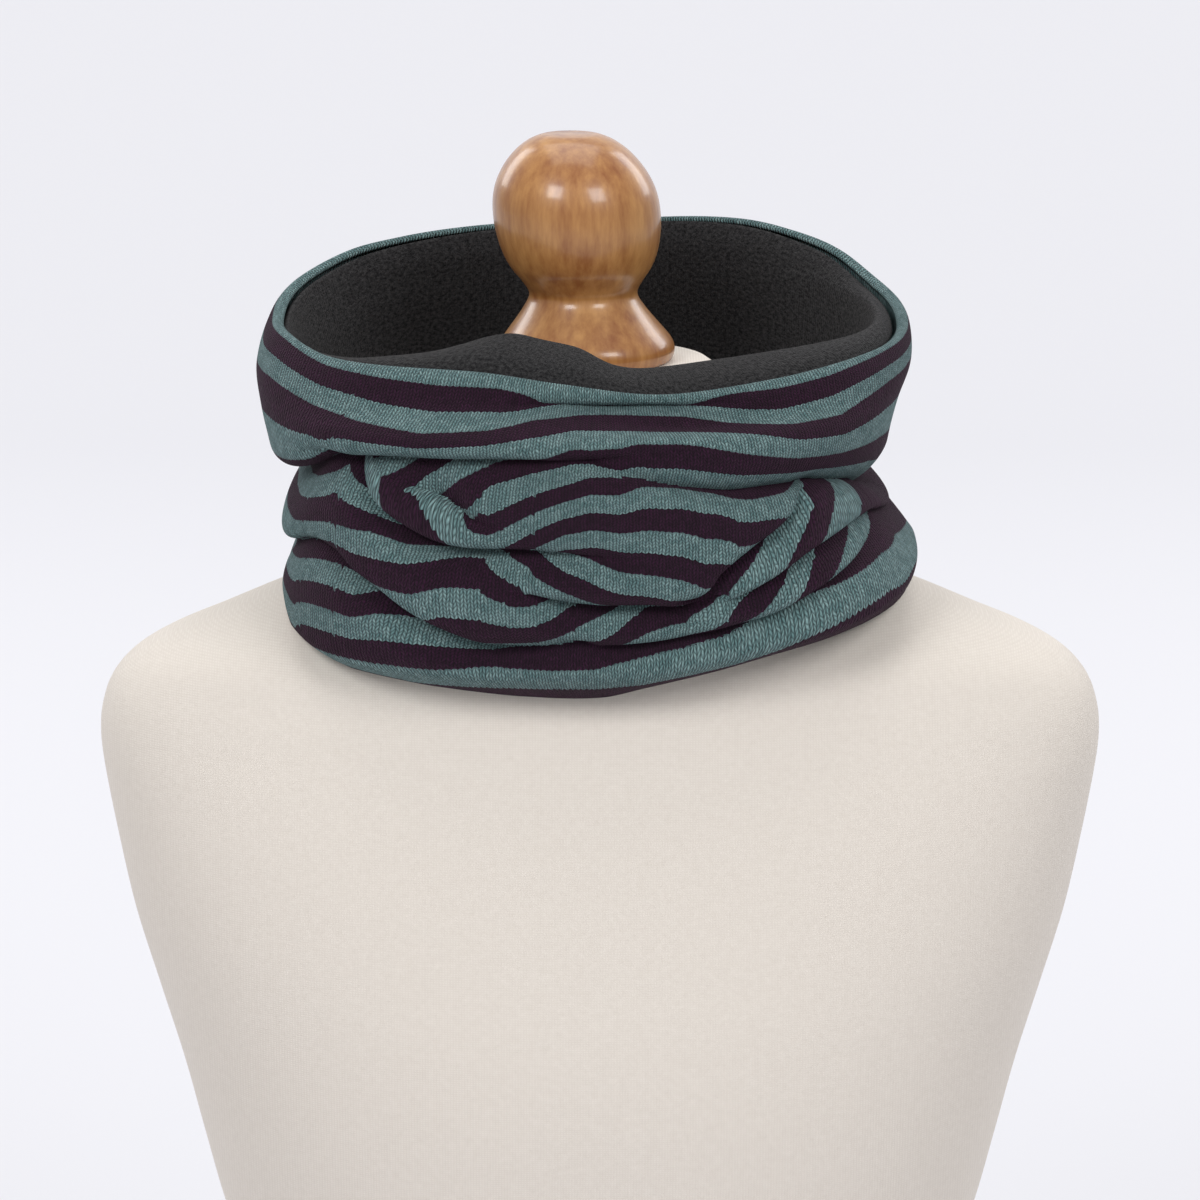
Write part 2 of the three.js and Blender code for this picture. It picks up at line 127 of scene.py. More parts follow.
# Outer tube without its folds, from the rim down: heights (those that count from the rim have
# from_rim 1), reach from the axis to the left, front, right and back, fullness of the plan.
OUTER = table("from_rim zl zf zr zb left front right back full", [
    (1, -1.5, -1.5, -1.5, -0.7, 120, 80, 112.5, 83.6, 2.4),    # seam with the lining
    (1, 0, 0, 0, 0, 123, 83, 116, 85.2, 2.4),                  # rim
    (1, -4, -3.5, -4, -5, 126.5, 85.5, 118, 87.5, 2.4),        # collar
    (1, -17, -10.5, -14, -18, 130.5, 89, 118, 92, 2.4),        # top of the band
    (0, 542, 544, 545, 556, 129, 101, 113.5, 95, 2.4),         # band
    (0, 528, 536, 531, 540, 126, 105, 110, 96, 2.4),           # hem of the band
    (0, 513, 520, 516, 522, 122.5, 105.5, 108, 97, 2.45),      # rolls
    (0, 499, 504, 502, 506, 121.5, 105.5, 112, 98, 2.5),
    (0, 485, 487, 490, 490, 122, 105, 118, 98, 2.6),
    (0, 472, 470, 480, 474, 121.5, 101, 121, 96, 2.8),
    (0, 459, 453, 464, 462, 121, 94, 120.5, 92, 3),            # foot
    (0, 446, 444, 456, 452, 118.5, 77, 118, 86, 3),            # sole
])

# Lining, the side towards the neck, over the mound at the front and down to the shoulders.
LINING = table("from_rim share zl zf zr zb left front right back full", [
    (1, 0, -3.2, -3.2, -3.2, -1.1, 118.4, 78.4, 110.9, 81.5, 2.4),
    (1, 0.52, -0.7, -0.7, -0.7, -0.7, 116.5, 73, 108.5, 78.5, 2.4),
    (1, 1, 0, 0, 0, 0, 114.5, 63, 106, 78.5, 2.35),
    (1, 1.3, -3.5, -3.5, -3.5, -3.5, 112, 57, 103.5, 79, 2.3),
    (0, 0, 540, 557, 541, 552, 107, 54.6, 99, 81, 2.3),
    (0, 0, 526, 530, 527, 532, 101.5, 54.8, 94, 81.5, 2.3),
    (0, 0, 511, 508, 512, 511, 98, 56.5, 89.5, 81, 2.3),
    (0, 0, 494, 488, 495, 490, 97, 60, 88, 80.5, 2.35),
    (0, 0, 482, 470, 484, 473, 100, 66, 91, 80.5, 2.4),
    (0, 0, 474, 455, 476, 463, 107, 72.5, 99, 81, 2.5),
])


def fold(above, below, lift, stations):
    """A fold: reach above and below its trough, tilt of the trough, and its stations."""
    return {"above": above, "below": below, "lift": lift, **table("deg z cut", stations)}


# Folds of the outer tube. z is the height of the lip seen from outside and cut the depth of the
# trough behind it. A positive lift lets the roll above overhang, a negative one lifts the lower.
FOLDS = {
    "under_band": fold(16, 15, 35, [
        (-135, 530, 0), (-110, 521, 12), (-90, 520, 19), (-75, 521, 18), (-66, 525, 16),
        (-58, 531, 15), (-45, 535, 14), (-32, 536, 14), (-18, 537, 13), (-8, 537, 9),
        (5, 539, 4), (18, 541, 2), (32, 541, 0),
    ]),
    "right_tuck": fold(14, 14, -15, [
        (-10, 535, 0), (-2, 533, 4), (4, 532, 5), (10, 529, 7), (19, 526, 9), (27, 524, 10),
        (38, 524, 11), (50, 523, 12), (66, 518, 12), (80, 512, 13), (90, 510, 13),
        (105, 512, 9), (125, 518, 0),
    ]),
    "left_diagonal": fold(11, 13, 35, [
        (-68, 530, 0), (-60, 532, 3), (-56, 532, 6), (-51, 527, 9), (-45, 518, 12),
        (-40, 512, 13), (-33, 506, 13), (-27, 504, 13), (-16, 504, 11), (-7, 503, 7),
        (0, 502, 4), (10, 501, 0),
    ]),
    "inner_vee": fold(9, 7, -25, [
        (-44, 525, 0), (-38, 522, 4), (-33, 520, 7), (-28, 517, 6), (-25, 514, 4), (-18, 512, 0),
    ]),
    "left_second": fold(12, 13, 35, [
        (-125, 492, 0), (-105, 488, 7), (-90, 488, 10), (-75, 493, 10), (-62, 499, 9),
        (-54, 497, 10), (-49, 491, 10), (-44, 486, 11), (-36, 476, 11), (-26, 468, 11),
        (-19, 467, 9), (-7, 467, 5), (0, 467, 0),
    ]),
    "mid_lap": fold(12, 12, 35, [
        (-22, 489, 0), (-16, 488, 4), (-9, 485, 9), (0, 483, 10), (10, 483, 11), (19, 482, 10),
        (26, 486, 0),
    ]),
    "right_diagonal_a": fold(10, 10, 20, [
        (14, 483, 0), (21, 485, 8), (24, 493, 9), (31, 503, 9), (38, 511, 9), (42, 519, 8),
        (44, 523, 5), (50, 527, 0),
    ]),
    "right_diagonal_b": fold(10, 10, 30, [
        (20, 483, 0), (27, 485, 5), (35, 492, 8), (42, 499, 9), (50, 504, 9), (58, 507, 9),
        (66, 507, 9), (90, 501, 7), (110, 500, 0),
    ]),
    "foot_roll": fold(11, 12, 30, [
        (-12, 467, 0), (-4, 467, 4), (4, 467, 7), (15, 469, 8), (23, 472, 8), (29, 475, 8),
        (35, 478, 8), (43, 485, 8), (51, 492, 7), (60, 499, 5), (68, 504, 0),
    ]),
    "collar_groove": fold(6, 8, 10, [
        (-22, 555, 0), (-13, 555, 3), (0, 554, 5), (12, 554, 5), (21, 554, 4), (34, 556, 0),
    ]),
    "back_upper": fold(14, 14, 30, [
        (100, 536, 0), (125, 541, 7), (150, 544, 8), (180, 541, 7), (205, 540, 8), (228, 538, 6),
        (250, 534, 0),
    ]),
    "back_middle": fold(13, 13, -15, [
        (118, 520, 0), (138, 516, 8), (162, 510, 9), (185, 509, 8), (208, 513, 8), (235, 519, 0),
    ]),
    "back_lower": fold(12, 12, 30, [
        (95, 486, 0), (120, 488, 7), (145, 484, 8), (175, 480, 8), (205, 482, 8), (230, 487, 7),
        (252, 490, 0),
    ]),
}


def guide(zone, spans, soft, stations):
    """Stripe guide: height on the flat tube at the edge seen above a line and at the edge below.

    The line is the trough of the folds named in the spans, each with its first and last degree,
    and has heights of its own elsewhere. Over the degrees in soft the guide fades at its ends.
    """
    columns = "deg above below" if len(stations[0]) == 3 else "deg z above below"
    return {"zone": zone, "spans": spans, "soft": soft, **table(columns, stations)}


def level_guide(zone, soft, height, stations):
    """Stripe guide clear of the folds, with one height all along its line."""
    return guide(zone, [], soft, [(deg, z, height, height) for deg, z in stations])


# A fold hides cloth, so the stripes step across its trough. Two stripes repeat every 20 mm.
# The guides run from the top down: one never passes the one before it.
ALL = 999
GUIDES = [
    guide("front", [("collar_groove", -ALL, ALL)], (10, 14), [
        (-24, 12, 12), (-13, 10, 18), (-8, 10, 20), (0, 10, 20), (12, 10, 20), (21, 10, 19),
        (28, 11, 17), (36, 13, 13),
    ]),
    level_guide("front", (0, 0), 30, [
        (-98, 560), (-85, 558), (-73, 556), (-60, 550), (-49, 547), (-36, 545), (-23, 547),
        (-15, 550), (-5, 551), (20, 550), (29, 548), (41, 547), (52, 548), (67, 556), (80, 560),
        (98, 562),
    ]),
    guide("front", [("under_band", -ALL, ALL)], (0, 12), [
        (-98, 56, 12), (-75, 56, 11), (-66, 54, 14), (-61, 52, 18), (-55, 50, 20), (-50, 50, 20),
        (-43, 50, 23), (-38, 50, 30), (-31, 50, 40), (-26, 50, 46), (-20, 50, 50), (-6, 50, 50),
    ]),
    guide("front", [("inner_vee", -36, -27), ("right_tuck", 8, ALL)], (5, 0), [
        (-54, 529, 20, 20), (-51, 528, 21, 21), (-48, 526, 25, 25), (-44, 524, 30, 30),
        (-39, 522, 40, 40), (-37, 522, 43, 41), (-33, 520, 50, 43), (-28, 517, 60, 49),
        (-25, 517, 64, 55), (-22, 521, 66, 66), (-14, 526, 66, 66), (-7, 529, 65, 65),
        (-2, 531, 64, 62), (4, 531, 63, 59), (10, 529, 66, 54), (16, 527, 69, 52),
        (23, 525, 70, 53), (27, 524, 70, 56), (31, 524, 70, 58), (36, 524, 70, 57),
        (40, 524, 70, 55), (43.9, 524, 70, 51), (44, 524, 70, -77), (46, 524, 70, -80),
        (54, 522, 70, -90), (58, 520, 70, -97), (60, 520, 70, -100), (66, 518, 70, -104),
        (80, 512, 70, -108), (98, 510, 70, -109),
    ]),
    guide("front", [("left_diagonal", -ALL, ALL)], (5, 10), [
        (-63, 17, 20), (-56, 17, 20), (-50, 20, 13), (-46, 25, 10), (-42, 29, 5), (-39, 32, 1),
        (-34, 37, -6), (-31, 38, -9), (-29, 40, -10), (-26, 42, -11), (-21, 40, -11),
        (-16, 32, -4), (-12, 24, 1), (-7, 15, 9), (0, 12, 12), (8, 12, 12),
    ]),
    guide("front", [], (0, 4), [
        (-98, 503, -10, -10), (-67, 504, -10, -10), (-62, 506, -10, -10), (-56, 508, -10, -10),
        (-51, 508, -10, -10), (-46, 506, -11, -11), (-42, 502, -14, -14), (-38, 497, -19, -19),
        (-33, 496, -20, -20), (-24, 496, -20, -20), (-18, 491, -20, -20), (-13, 488, -20, -20),
    ]),
    guide("front", [("mid_lap", -ALL, 18), ("right_diagonal_a", 22, ALL)], (5, 0), [
        (-19, -19, -20), (-14, -19, -25), (-10, -20, -31), (-7, -19, -38), (0, -12, -46),
        (3, -10, -49), (10, -8, -60), (15, -7, -61), (19, -6, -61), (21, 0, -63), (23, 8, -62),
        (24, 11.5, -62), (26, 16, -63), (27, 20, -64), (31, 25, -67), (35, 30, -70),
        (38, 35, -71), (42, 40, -73), (44, 44, -76),
    ]),
    guide("front", [("right_diagonal_b", -ALL, ALL)], (6, 0), [
        (25, -74, -75), (31, -78, -80), (35, -81, -85), (39, -86, -90), (45, -91, -100),
        (50, -96, -104), (56, -100, -110), (66, -104, -114), (66.1, -104, -61), (98, -106, -60),
    ]),
    guide("front", [("left_second", -ALL, -7), ("foot_roll", -3, ALL)], (0, 0), [
        (-98, -20, -20), (-62, -20, -20), (-54, -28, -24), (-49, -31, -29), (-44, -34, -40),
        (-40, -38, -46), (-36, -41, -50), (-31, -49, -53), (-26, -51, -56), (-19, -53, -60),
        (-7, -58, -61), (-4, -61, -62), (1, -66, -63), (4, -70, -62), (7, -75, -62),
        (15, -80, -62), (23, -83, -62), (29, -92, -62), (35, -99, -61), (39, -104, -61),
        (43, -110, -61), (51, -116, -60), (66, -116, -60),
    ]),
    level_guide("front", (0, 0), -70, [
        (-98, 461), (-65, 459), (-50, 458), (-37, 457), (-11, 457), (-1, 458), (9, 461), (18, 464),
        (26, 468), (34, 474), (42, 480), (52, 487), (61, 493), (71, 496), (98, 491),
    ]),
    level_guide("front", (0, 8), -80, [
        (-45, 447.5), (-38, 448), (-21, 449), (-1, 449), (10, 451), (20, 454), (29, 458),
        (37, 464), (43, 470), (52, 477), (60, 481), (68, 483),
    ]),
    level_guide("back", (0, 28), 30, [(96, 562), (126, 569)]),
    guide("back", [("right_tuck", -ALL, ALL)], (0, 28), [(96, 70, 91), (126, 76, 88)]),
    guide("back", [("right_diagonal_b", -ALL, ALL)], (0, 28), [(96, 94, 130), (126, 108, 126)]),
    level_guide("back", (0, 28), 140, [(96, 491), (126, 490)]),
    level_guide("back", (27, 0), 30, [(235, 566), (264, 560)]),
    guide("back", [("under_band", -ALL, ALL)], (27, 0), [(235, 58, 76), (264, 56, 78)]),
    level_guide("back", (27, 0), 100, [(235, 504), (264, 503)]),
    guide("back", [("left_second", -ALL, ALL)], (27, 0), [(235, 110, 110), (264, 110, 110)]),
    level_guide("back", (27, 0), 160, [(235, 462), (264, 461)]),
]
RIM_FRONT = table("deg height", [(-98, 3), (-80, 3), (-68, 2), (-58, 0), (98, 0)])
SOLE_FRONT = table("deg height", [
    (-98, -82), (-65, -82), (-40, -82), (-21, -84), (0, -86), (12, -88), (29, -90), (60, -90),
    (98, -90),
])
RIM_BACK = table("deg height", [(96, 0), (120, 0), (240, 0), (250, 1), (264, 3)])
SOLE_BACK = table("deg height", [
    (96, 160), (110, 165), (125, 172), (150, 182), (180, 186), (210, 184), (235, 177), (264, 172),
])


# Curves.
def cubic(y0, y1, m0, m1, width, f):
    """Cubic from y0 to y1 over a width, with slope m0 and m1 at the ends, at the share f."""
    f2, f3 = f * f, f * f * f
    return ((2 * f3 - 3 * f2 + 1) * y0 + (f3 - 2 * f2 + f) * width * m0
            + (3 * f2 - 2 * f3) * y1 + (f3 - f2) * width * m1)


def through(stations, key, deg):
    """Smooth value through the stations, level outside them."""
    xs, ys = stations["deg"], stations[key]
    last = len(xs) - 1
    before = np.maximum(np.arange(last + 1) - 1, 0)
    after = np.minimum(np.arange(last + 1) + 1, last)
    slope = (ys[after] - ys[before]) / (xs[after] - xs[before])
    x = np.clip(deg, xs[0], xs[-1])
    i = np.clip(np.searchsorted(xs, x, side="left") - 1, 0, last - 1)
    width = xs[i + 1] - xs[i]
    return cubic(ys[i], ys[i + 1], slope[i], slope[i + 1], width, (x - xs[i]) / width)


def torso_top(x, y):
    """Height of the dress form above a point, searched upwards from its widest ring."""
    low = np.full(x.shape, WIDEST_Z)
    high = np.full(x.shape, NECK_TOP)
    for _ in range(HALVINGS):
        middle = (low + high) / 2
        half, front, back, full = (np.interp(middle, TORSO["z"], TORSO[key])
                                   for key in ("half", "front", "back", "full"))
        depth = np.where(y < 0, front, back)
        inside = np.abs(x / half) ** full + np.abs(y / depth) ** full < 1
        low = np.where(inside, middle, low)
        high = np.where(inside, high, middle)
    return low


def level_rows(levels, phi):
    """Radius and height of every level in every direction."""
    s, c = np.sin(phi), np.cos(phi)
    column = {key: values[:, None] for key, values in levels.items()}
    side = np.where(s < 0, column["left"], column["right"])
    face = np.where(c > 0, column["front"], column["back"])
    full = column["full"]
    radius = (np.abs(s / side) ** full + np.abs(c / face) ** full) ** (-1 / full)
    height = (np.where(s < 0, column["zl"], column["zr"]) * s * s
              + np.where(c > 0, column["zf"], column["zb"]) * c * c)
    height = height + column["from_rim"] * through(RIM, "z", np.degrees(phi))
    return radius, height


def ride_on(radius, height, phi, clear):
    """The height, lifted to lie clear of the dress form where it is lower."""
    top = torso_top(radius * np.sin(phi), -radius * np.cos(phi)) + clear
    return np.maximum(height, top)


def through_levels(values, steps):
    """Smooth curve through the levels of each section."""
    last = len(values) - 1
    t = np.linspace(0, last, steps)
    i = np.minimum(t.astype(int), last - 1)
    f = (t - i)[:, None]

    def at(k):
        return values[np.clip(k, 0, last)]

    return cubic(at(i), at(i + 1), (at(i + 1) - at(i - 1)) / 2, (at(i + 2) - at(i)) / 2, 1.0, f)


def running_length(r, z):
    """Length down each section, from its first point to every other."""
    step = np.hypot(np.diff(r, axis=0), np.diff(z, axis=0))
    return np.vstack([np.zeros(r.shape[1]), np.cumsum(step, axis=0)])


# Folds.
def trough_share(distance, reach):
    """Share of the cut at a distance from the trough: 1 there and 0 at its reach."""
    q = np.clip(1 - distance / reach, 0, 1)
    c = FOLD_SHARPNESS
    return (1 - np.sqrt(1 - c * c * q * q)) / (1 - math.sqrt(1 - c * c))


def unwrapped(deg, stations):
    """Degrees shifted by whole turns to lie about the middle of the stations."""
    centre = (stations["deg"][0] + stations["deg"][-1]) / 2
    turn = deg - centre
    return centre + turn - 360 * np.round(turn / 360)


def trough_line(item, phi, z, lengths):
    """Depth of a fold in every direction, and where its trough lies along the section."""
    deg = unwrapped(np.degrees(phi), item)
    inside = (deg > item["deg"][0]) & (deg < item["deg"][-1])
    cut = np.where(inside, np.maximum(through(item, "cut", deg), 0), 0)
    lift = math.radians(item["lift"])
    reach = item["above"] if lift > 0 else item["below"]
    distance = np.linspace(0, reach, TROUGH_STEPS)[:, None]
    rise = abs(math.sin(lift)) * cut * trough_share(distance, reach)
    offset = np.min(distance + rise, axis=0)
    height = through(item, "z", deg) + (-offset if lift > 0 else offset)
    top = np.argmax(z, axis=0)
    at = np.array([np.interp(-height[j], -z[top[j]:, j], lengths[top[j]:, j])
                   for j in range(z.shape[1])])
    return cut, np.full(cut.shape, lift), at


def outer_section(phi, steps):
    """Face and inside of the outer tube, its plain curve's running length and its troughs."""
    radius, height = level_rows(OUTER, phi)
    sole = through(SOLE, "z", np.degrees(phi))
    foot = np.maximum(np.minimum(height[-2], sole + FOOT_MOST), sole + FOOT_LEAST)
    height[-2] = ride_on(radius[-2], foot, phi, OUTER_CLEAR + FOOT_RISE)
    height[-1] = ride_on(radius[-1], sole, phi, OUTER_CLEAR)
    # The shoulder lifts the foot, so the two levels above it are lifted too: no ledge forms.
    for level in (-3, -4):
        height[level] = np.maximum(height[level], height[level + 1] + LEVEL_GAP)
    r, z = through_levels(radius, steps), through_levels(height, steps)
    lengths = running_length(r, z)
    troughs = {name: trough_line(item, phi, z, lengths) for name, item in FOLDS.items()}
    return r, z, lengths, troughs


def displaced(r, z, lengths, troughs, wall):
    """The plain curve moved in by the wall and by every fold, whose troughs widen by the wall."""
    dr, dz = np.gradient(r, axis=0), np.gradient(z, axis=0)
    size = np.hypot(dr, dz)
    out_r, out_z = r + wall * dz / size, z - wall * dr / size
    for name, (cut, lift, at) in troughs.items():
        along = lengths - at
        distance = np.maximum(np.abs(along) - wall, 0)
        reach = np.where(along < 0, FOLDS[name]["above"], FOLDS[name]["below"])
        amount = cut * trough_share(distance, reach)
        out_r = out_r - amount * np.cos(lift)
        out_z = out_z + amount * np.sin(lift)
    return out_r, out_z


def resample(values, lengths, count):
    """Values at even steps of running length down each section."""
    out = np.empty((count, values.shape[1]))
    for j in range(values.shape[1]):
        out[:, j] = np.interp(np.linspace(0, lengths[-1, j], count), lengths[:, j], values[:, j])
    return out


# Stripes.
def seen_edges(at, lift, above, below, lengths, seen):
    """Places above and below a trough where the cloth passes out of the camera's sight.

    seen is how high each point of one section lies in the picture.
    """
    upper = np.flatnonzero((lengths <= at) & (lengths >= at - above))
    lower = np.flatnonzero((lengths >= at) & (lengths <= at + below))
    if len(upper) < 2 or len(lower) < 2:
        return at, at
    if lift > 0:
        lip = upper[np.argmin(seen[upper])]
        out = np.flatnonzero((lengths > at) & (seen < seen[lip]))
        return lengths[lip], lengths[out[0]] if len(out) else at
    lip = lower[np.argmax(seen[lower])]
    out = np.flatnonzero((lengths < at) & (seen > seen[lip]))
    return lengths[out[-1]] if len(out) else at, lengths[lip]


def stripe_pieces(phi, zone, plain, face, troughs):
    """For every direction, the troughs that part the stripes and the heights at their edges.

    A knot is its place, the place and height of the edge above it, those of the edge below it.
    """
    z, length = plain
    face_r, face_z, face_length = face
    deg_all = np.degrees(phi)
    pitch = math.radians(PITCH_DEG)
    seen = face_z * math.cos(pitch) - face_r * np.abs(np.cos(phi)) * math.sin(pitch)
    top = np.argmax(z, axis=0)
    items = [item for item in GUIDES if item["zone"] == zone]
    places = np.full((len(items), len(phi), 3), np.nan)
    for item, rows in zip(items, places):
        first, final = item["deg"][0], item["deg"][-1]
        for j, deg in enumerate(unwrapped(deg_all, item)):
            if deg < first or deg > final:
                continue
            rest, mixed = 1.0, np.zeros(3)
            for name, start, end in item["spans"]:
                share = min(max(min(deg - start, end - deg) / HANDOVER_DEG + 1, 0.0), 1.0)
                if share > 0:
                    _, lift, at = (values[j] for values in troughs[name])
                    edges = seen_edges(at, lift, FOLDS[name]["above"], FOLDS[name]["below"],
                                       length[:, j], seen[:, j])
                    mixed += share * np.array([at, *edges])
                    rest -= share
            if rest > 0:
                height = np.interp(deg, item["deg"], item["z"])
                mixed += rest * np.interp(-height, -z[top[j]:, j], length[top[j]:, j])
            rows[j] = mixed
        rows[:, 1:] = rows[:, :1] + smoothed(rows[:, 1:] - rows[:, :1], EDGE_REACH)
        for j in range(len(phi)):
            rows[j] = np.interp(rows[j], length[:, j], face_length[:, j])

    rim = RIM_FRONT if zone == "front" else RIM_BACK
    sole = SOLE_FRONT if zone == "front" else SOLE_BACK
    rim_height = through(rim, "height", unwrapped(deg_all, rim))
    sole_height = through(sole, "height", unwrapped(deg_all, sole))
    knots = []
    for j in range(len(phi)):
        column = [(0.0, 0.0, rim_height[j], 0.0, rim_height[j], 1.0)]
        for item, rows in zip(items, places):
            if np.isnan(rows[j, 0]):
                continue
            deg = float(unwrapped(deg_all[j], item))
            fades = [min(1.0, distance / soft) if soft else 1.0
                     for distance, soft in zip((deg - item["deg"][0], item["deg"][-1] - deg),
                                               item["soft"])]
            place, upper, lower = rows[j]
            place = max(place, column[-1][0] + KNOT_GAP)
            column.append((place, min(upper, place),
                           float(np.interp(deg, item["deg"], item["above"])), max(lower, place),
                           float(np.interp(deg, item["deg"], item["below"])),
                           fades[0] * fades[1]))
        bottom = len(z) - SOLE_STEPS + int(np.argmin(seen[-SOLE_STEPS:, j]))
        end = face_length[-1, j]
        column.append((end, face_length[bottom, j], sole_height[j], end, sole_height[j], 1.0))
        knots.append(settled(column))
    return knots


def smoothed(rows, reach):
    """Running mean of the rows that have values."""
    result = rows.copy()
    for j in np.flatnonzero(~np.isnan(rows[:, 0])):
        window = rows[[(j + k) % len(rows) for k in range(-reach, reach + 1)]]
        result[j] = np.nanmean(window, axis=0)
    return result


def settled(column):
    """Knots of one direction, with the fading ones drawn towards what lies round them."""
    result = []
    for k, (place, upper, above, lower, below, weight) in enumerate(column):
        if weight < 1:
            start = [knot for knot in column[:k] if knot[5] == 1][-1]
            finish = [knot for knot in column[k + 1:] if knot[5] == 1][0]
            rate = (finish[2] - start[4]) / max(finish[1] - start[3], 1.0)
            above += (1 - weight) * (start[4] + rate * (upper - start[3]) - above)
            below += (1 - weight) * (start[4] + rate * (lower - start[3]) - below)
        result.append((place, upper, above, lower, below))
    return result


def stripe_heights(knots, total, rows):
    """Flat height at the corners of every face, in the order of the corners."""
    columns = len(knots)
    heights = np.zeros((rows - 1, columns, 4))
    for j in range(columns):
        k = (j + 1) % columns
        here, there = np.array(knots[j]), np.array(knots[k])
        same = (len(here) == len(there)
                and np.max(np.abs(here - there)[:, (2, 4)]) < KNOT_JUMP)
        if not same:
            there = here * [total[k] / total[j], total[k] / total[j], 1, total[k] / total[j], 1]
        share = (here[1:-1, 0] / total[j] + there[1:-1, 0] / total[k]) / 2
        edge = np.linspace(0, 1, rows)
        piece = np.searchsorted(share, (edge[:-1] + edge[1:]) / 2)
        for column, source, slots in ((j, here, (0, 1)), (k, there, (3, 2))):
            gap = np.maximum(source[1:, 1] - source[:-1, 3], 1.0)
            rate = (source[1:, 2] - source[:-1, 4]) / gap
            for slot, shift in zip(slots, (0, 1)):
                place = edge[shift:rows - 1 + shift] * total[column]
                heights[:, j, slot] = source[piece, 4] + rate[piece] * (place - source[piece, 3])
    return heights


# Meshes.
def tube_mesh(name, phi, face, inside, outwards):
    """Closed tube wall: the face rows downwards and the inside rows back up."""
    r = np.vstack([face[0], inside[0][::-1]])
    z = np.vstack([face[1], inside[1][::-1]])
    loop, columns = r.shape
    points = np.stack([r * np.sin(phi), -r * np.cos(phi), z], axis=-1).reshape(-1, 3) * MM
    i, j = np.meshgrid(np.arange(loop), np.arange(columns), indexing="ij")
    down, right = (i + 1) % loop, (j + 1) % columns
    quads = np.stack([i * columns + j, down * columns + j, down * columns + right,
                      i * columns + right], axis=-1).reshape(-1, 4)
    if not outwards:
        quads = quads[:, ::-1]
    mesh = bpy.data.meshes.new(name)
    mesh.from_pydata(points.tolist(), [], quads.tolist())
    mesh.polygons.foreach_set("use_smooth", np.ones(len(quads), dtype=bool))
    mesh.update()
    return mesh, loop


def paint_uv(mesh, name, corners):
    """Writes a UV map from one pair for each face corner."""
    layer = mesh.uv_layers.new(name=name)
    layer.data.foreach_set("uv", corners.reshape(-1).astype(np.float32))


def ring_stack(name, rings):
    """Closed stack of rings, given as an array of rows, columns and coordinates in metres."""
    rows, columns, _ = rings.shape
    i, j = np.meshgrid(np.arange(rows - 1), np.arange(columns), indexing="ij")
    right = (j + 1) % columns
    quads = np.stack([i * columns + j, i * columns + right, (i + 1) * columns + right,
                      (i + 1) * columns + j], axis=-1).reshape(-1, 4).tolist()
    points = rings.reshape(-1, 3).tolist()
    for ring, turned in ((0, True), (rows - 1, False)):
        points.append(rings[ring].mean(axis=0).tolist())
        for k in range(columns):
            edge = [ring * columns + k, ring * columns + (k + 1) % columns]
            quads.append([*(edge[::-1] if turned else edge), len(points) - 1])
    mesh = bpy.data.meshes.new(name)
    mesh.from_pydata(points, [], quads)
    mesh.polygons.foreach_set("use_smooth", np.ones(len(quads), dtype=bool))
    mesh.update()
    return mesh


def add_piece(name, mesh, material, node):
    """Links a mesh as the piece that is shown in place of a CAD node."""
    obj = bpy.data.objects.new(name, mesh)
    bpy.context.scene.collection.objects.link(obj)
    mesh.materials.append(material)
    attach(obj, "root")
    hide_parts(node)
    return obj


# Materials.
def linear(hex_colour):
    """Linear RGBA of an sRGB hex colour."""
    channels = [int(hex_colour[i:i + 2], 16) / 255 for i in (1, 3, 5)]
    return tuple(c / 12.92 if c <= 0.04045 else ((c + 0.055) / 1.055) ** 2.4
                 for c in channels) + (1.0,)


def add_node(tree, kind, links=None, **settings):
    """Adds a node. Settings are properties or socket values, links are other nodes' outputs."""
    node = tree.nodes.new(kind)
    for key, value in settings.items():
        if hasattr(node, key):
            setattr(node, key, value)
        else:
            node.inputs[key.replace("_", " ")].default_value = value
    for key, source in (links or {}).items():
        tree.links.new(source, node.inputs[key])
    return node


def new_material(name, **values):
    """A material of one principled shader, with values for the shader's sockets."""
    material = bpy.data.materials.new(name)
    material.use_nodes = True
    tree = material.node_tree
    tree.nodes.clear()
    output = add_node(tree, "ShaderNodeOutputMaterial")
    shader = add_node(tree, "ShaderNodeBsdfPrincipled", **values)
    tree.links.new(shader.outputs[0], output.inputs[0])
    return material, tree, shader


def maths(tree, operation, a, b=None, c=None):
    """One Math node on sockets or plain numbers."""
    node = add_node(tree, "ShaderNodeMath", operation=operation)
    for i, value in enumerate((a, b, c)):
        if value is None:
            continue
        if isinstance(value, (int, float)):
            node.inputs[i].default_value = value
        else:
            tree.links.new(value, node.inputs[i])
    return node.outputs[0]


def mix_colour(tree, factor, a, b):
    """Mix of two colours by a factor, each given as a socket or a plain value."""
    node = add_node(tree, "ShaderNodeMix", data_type="RGBA")
    for socket, value in ((node.inputs[0], factor), (node.inputs[6], a), (node.inputs[7], b)):
        if isinstance(value, (int, float, tuple)):
            socket.default_value = value
        else:
            tree.links.new(value, socket)
    return node.outputs[2]


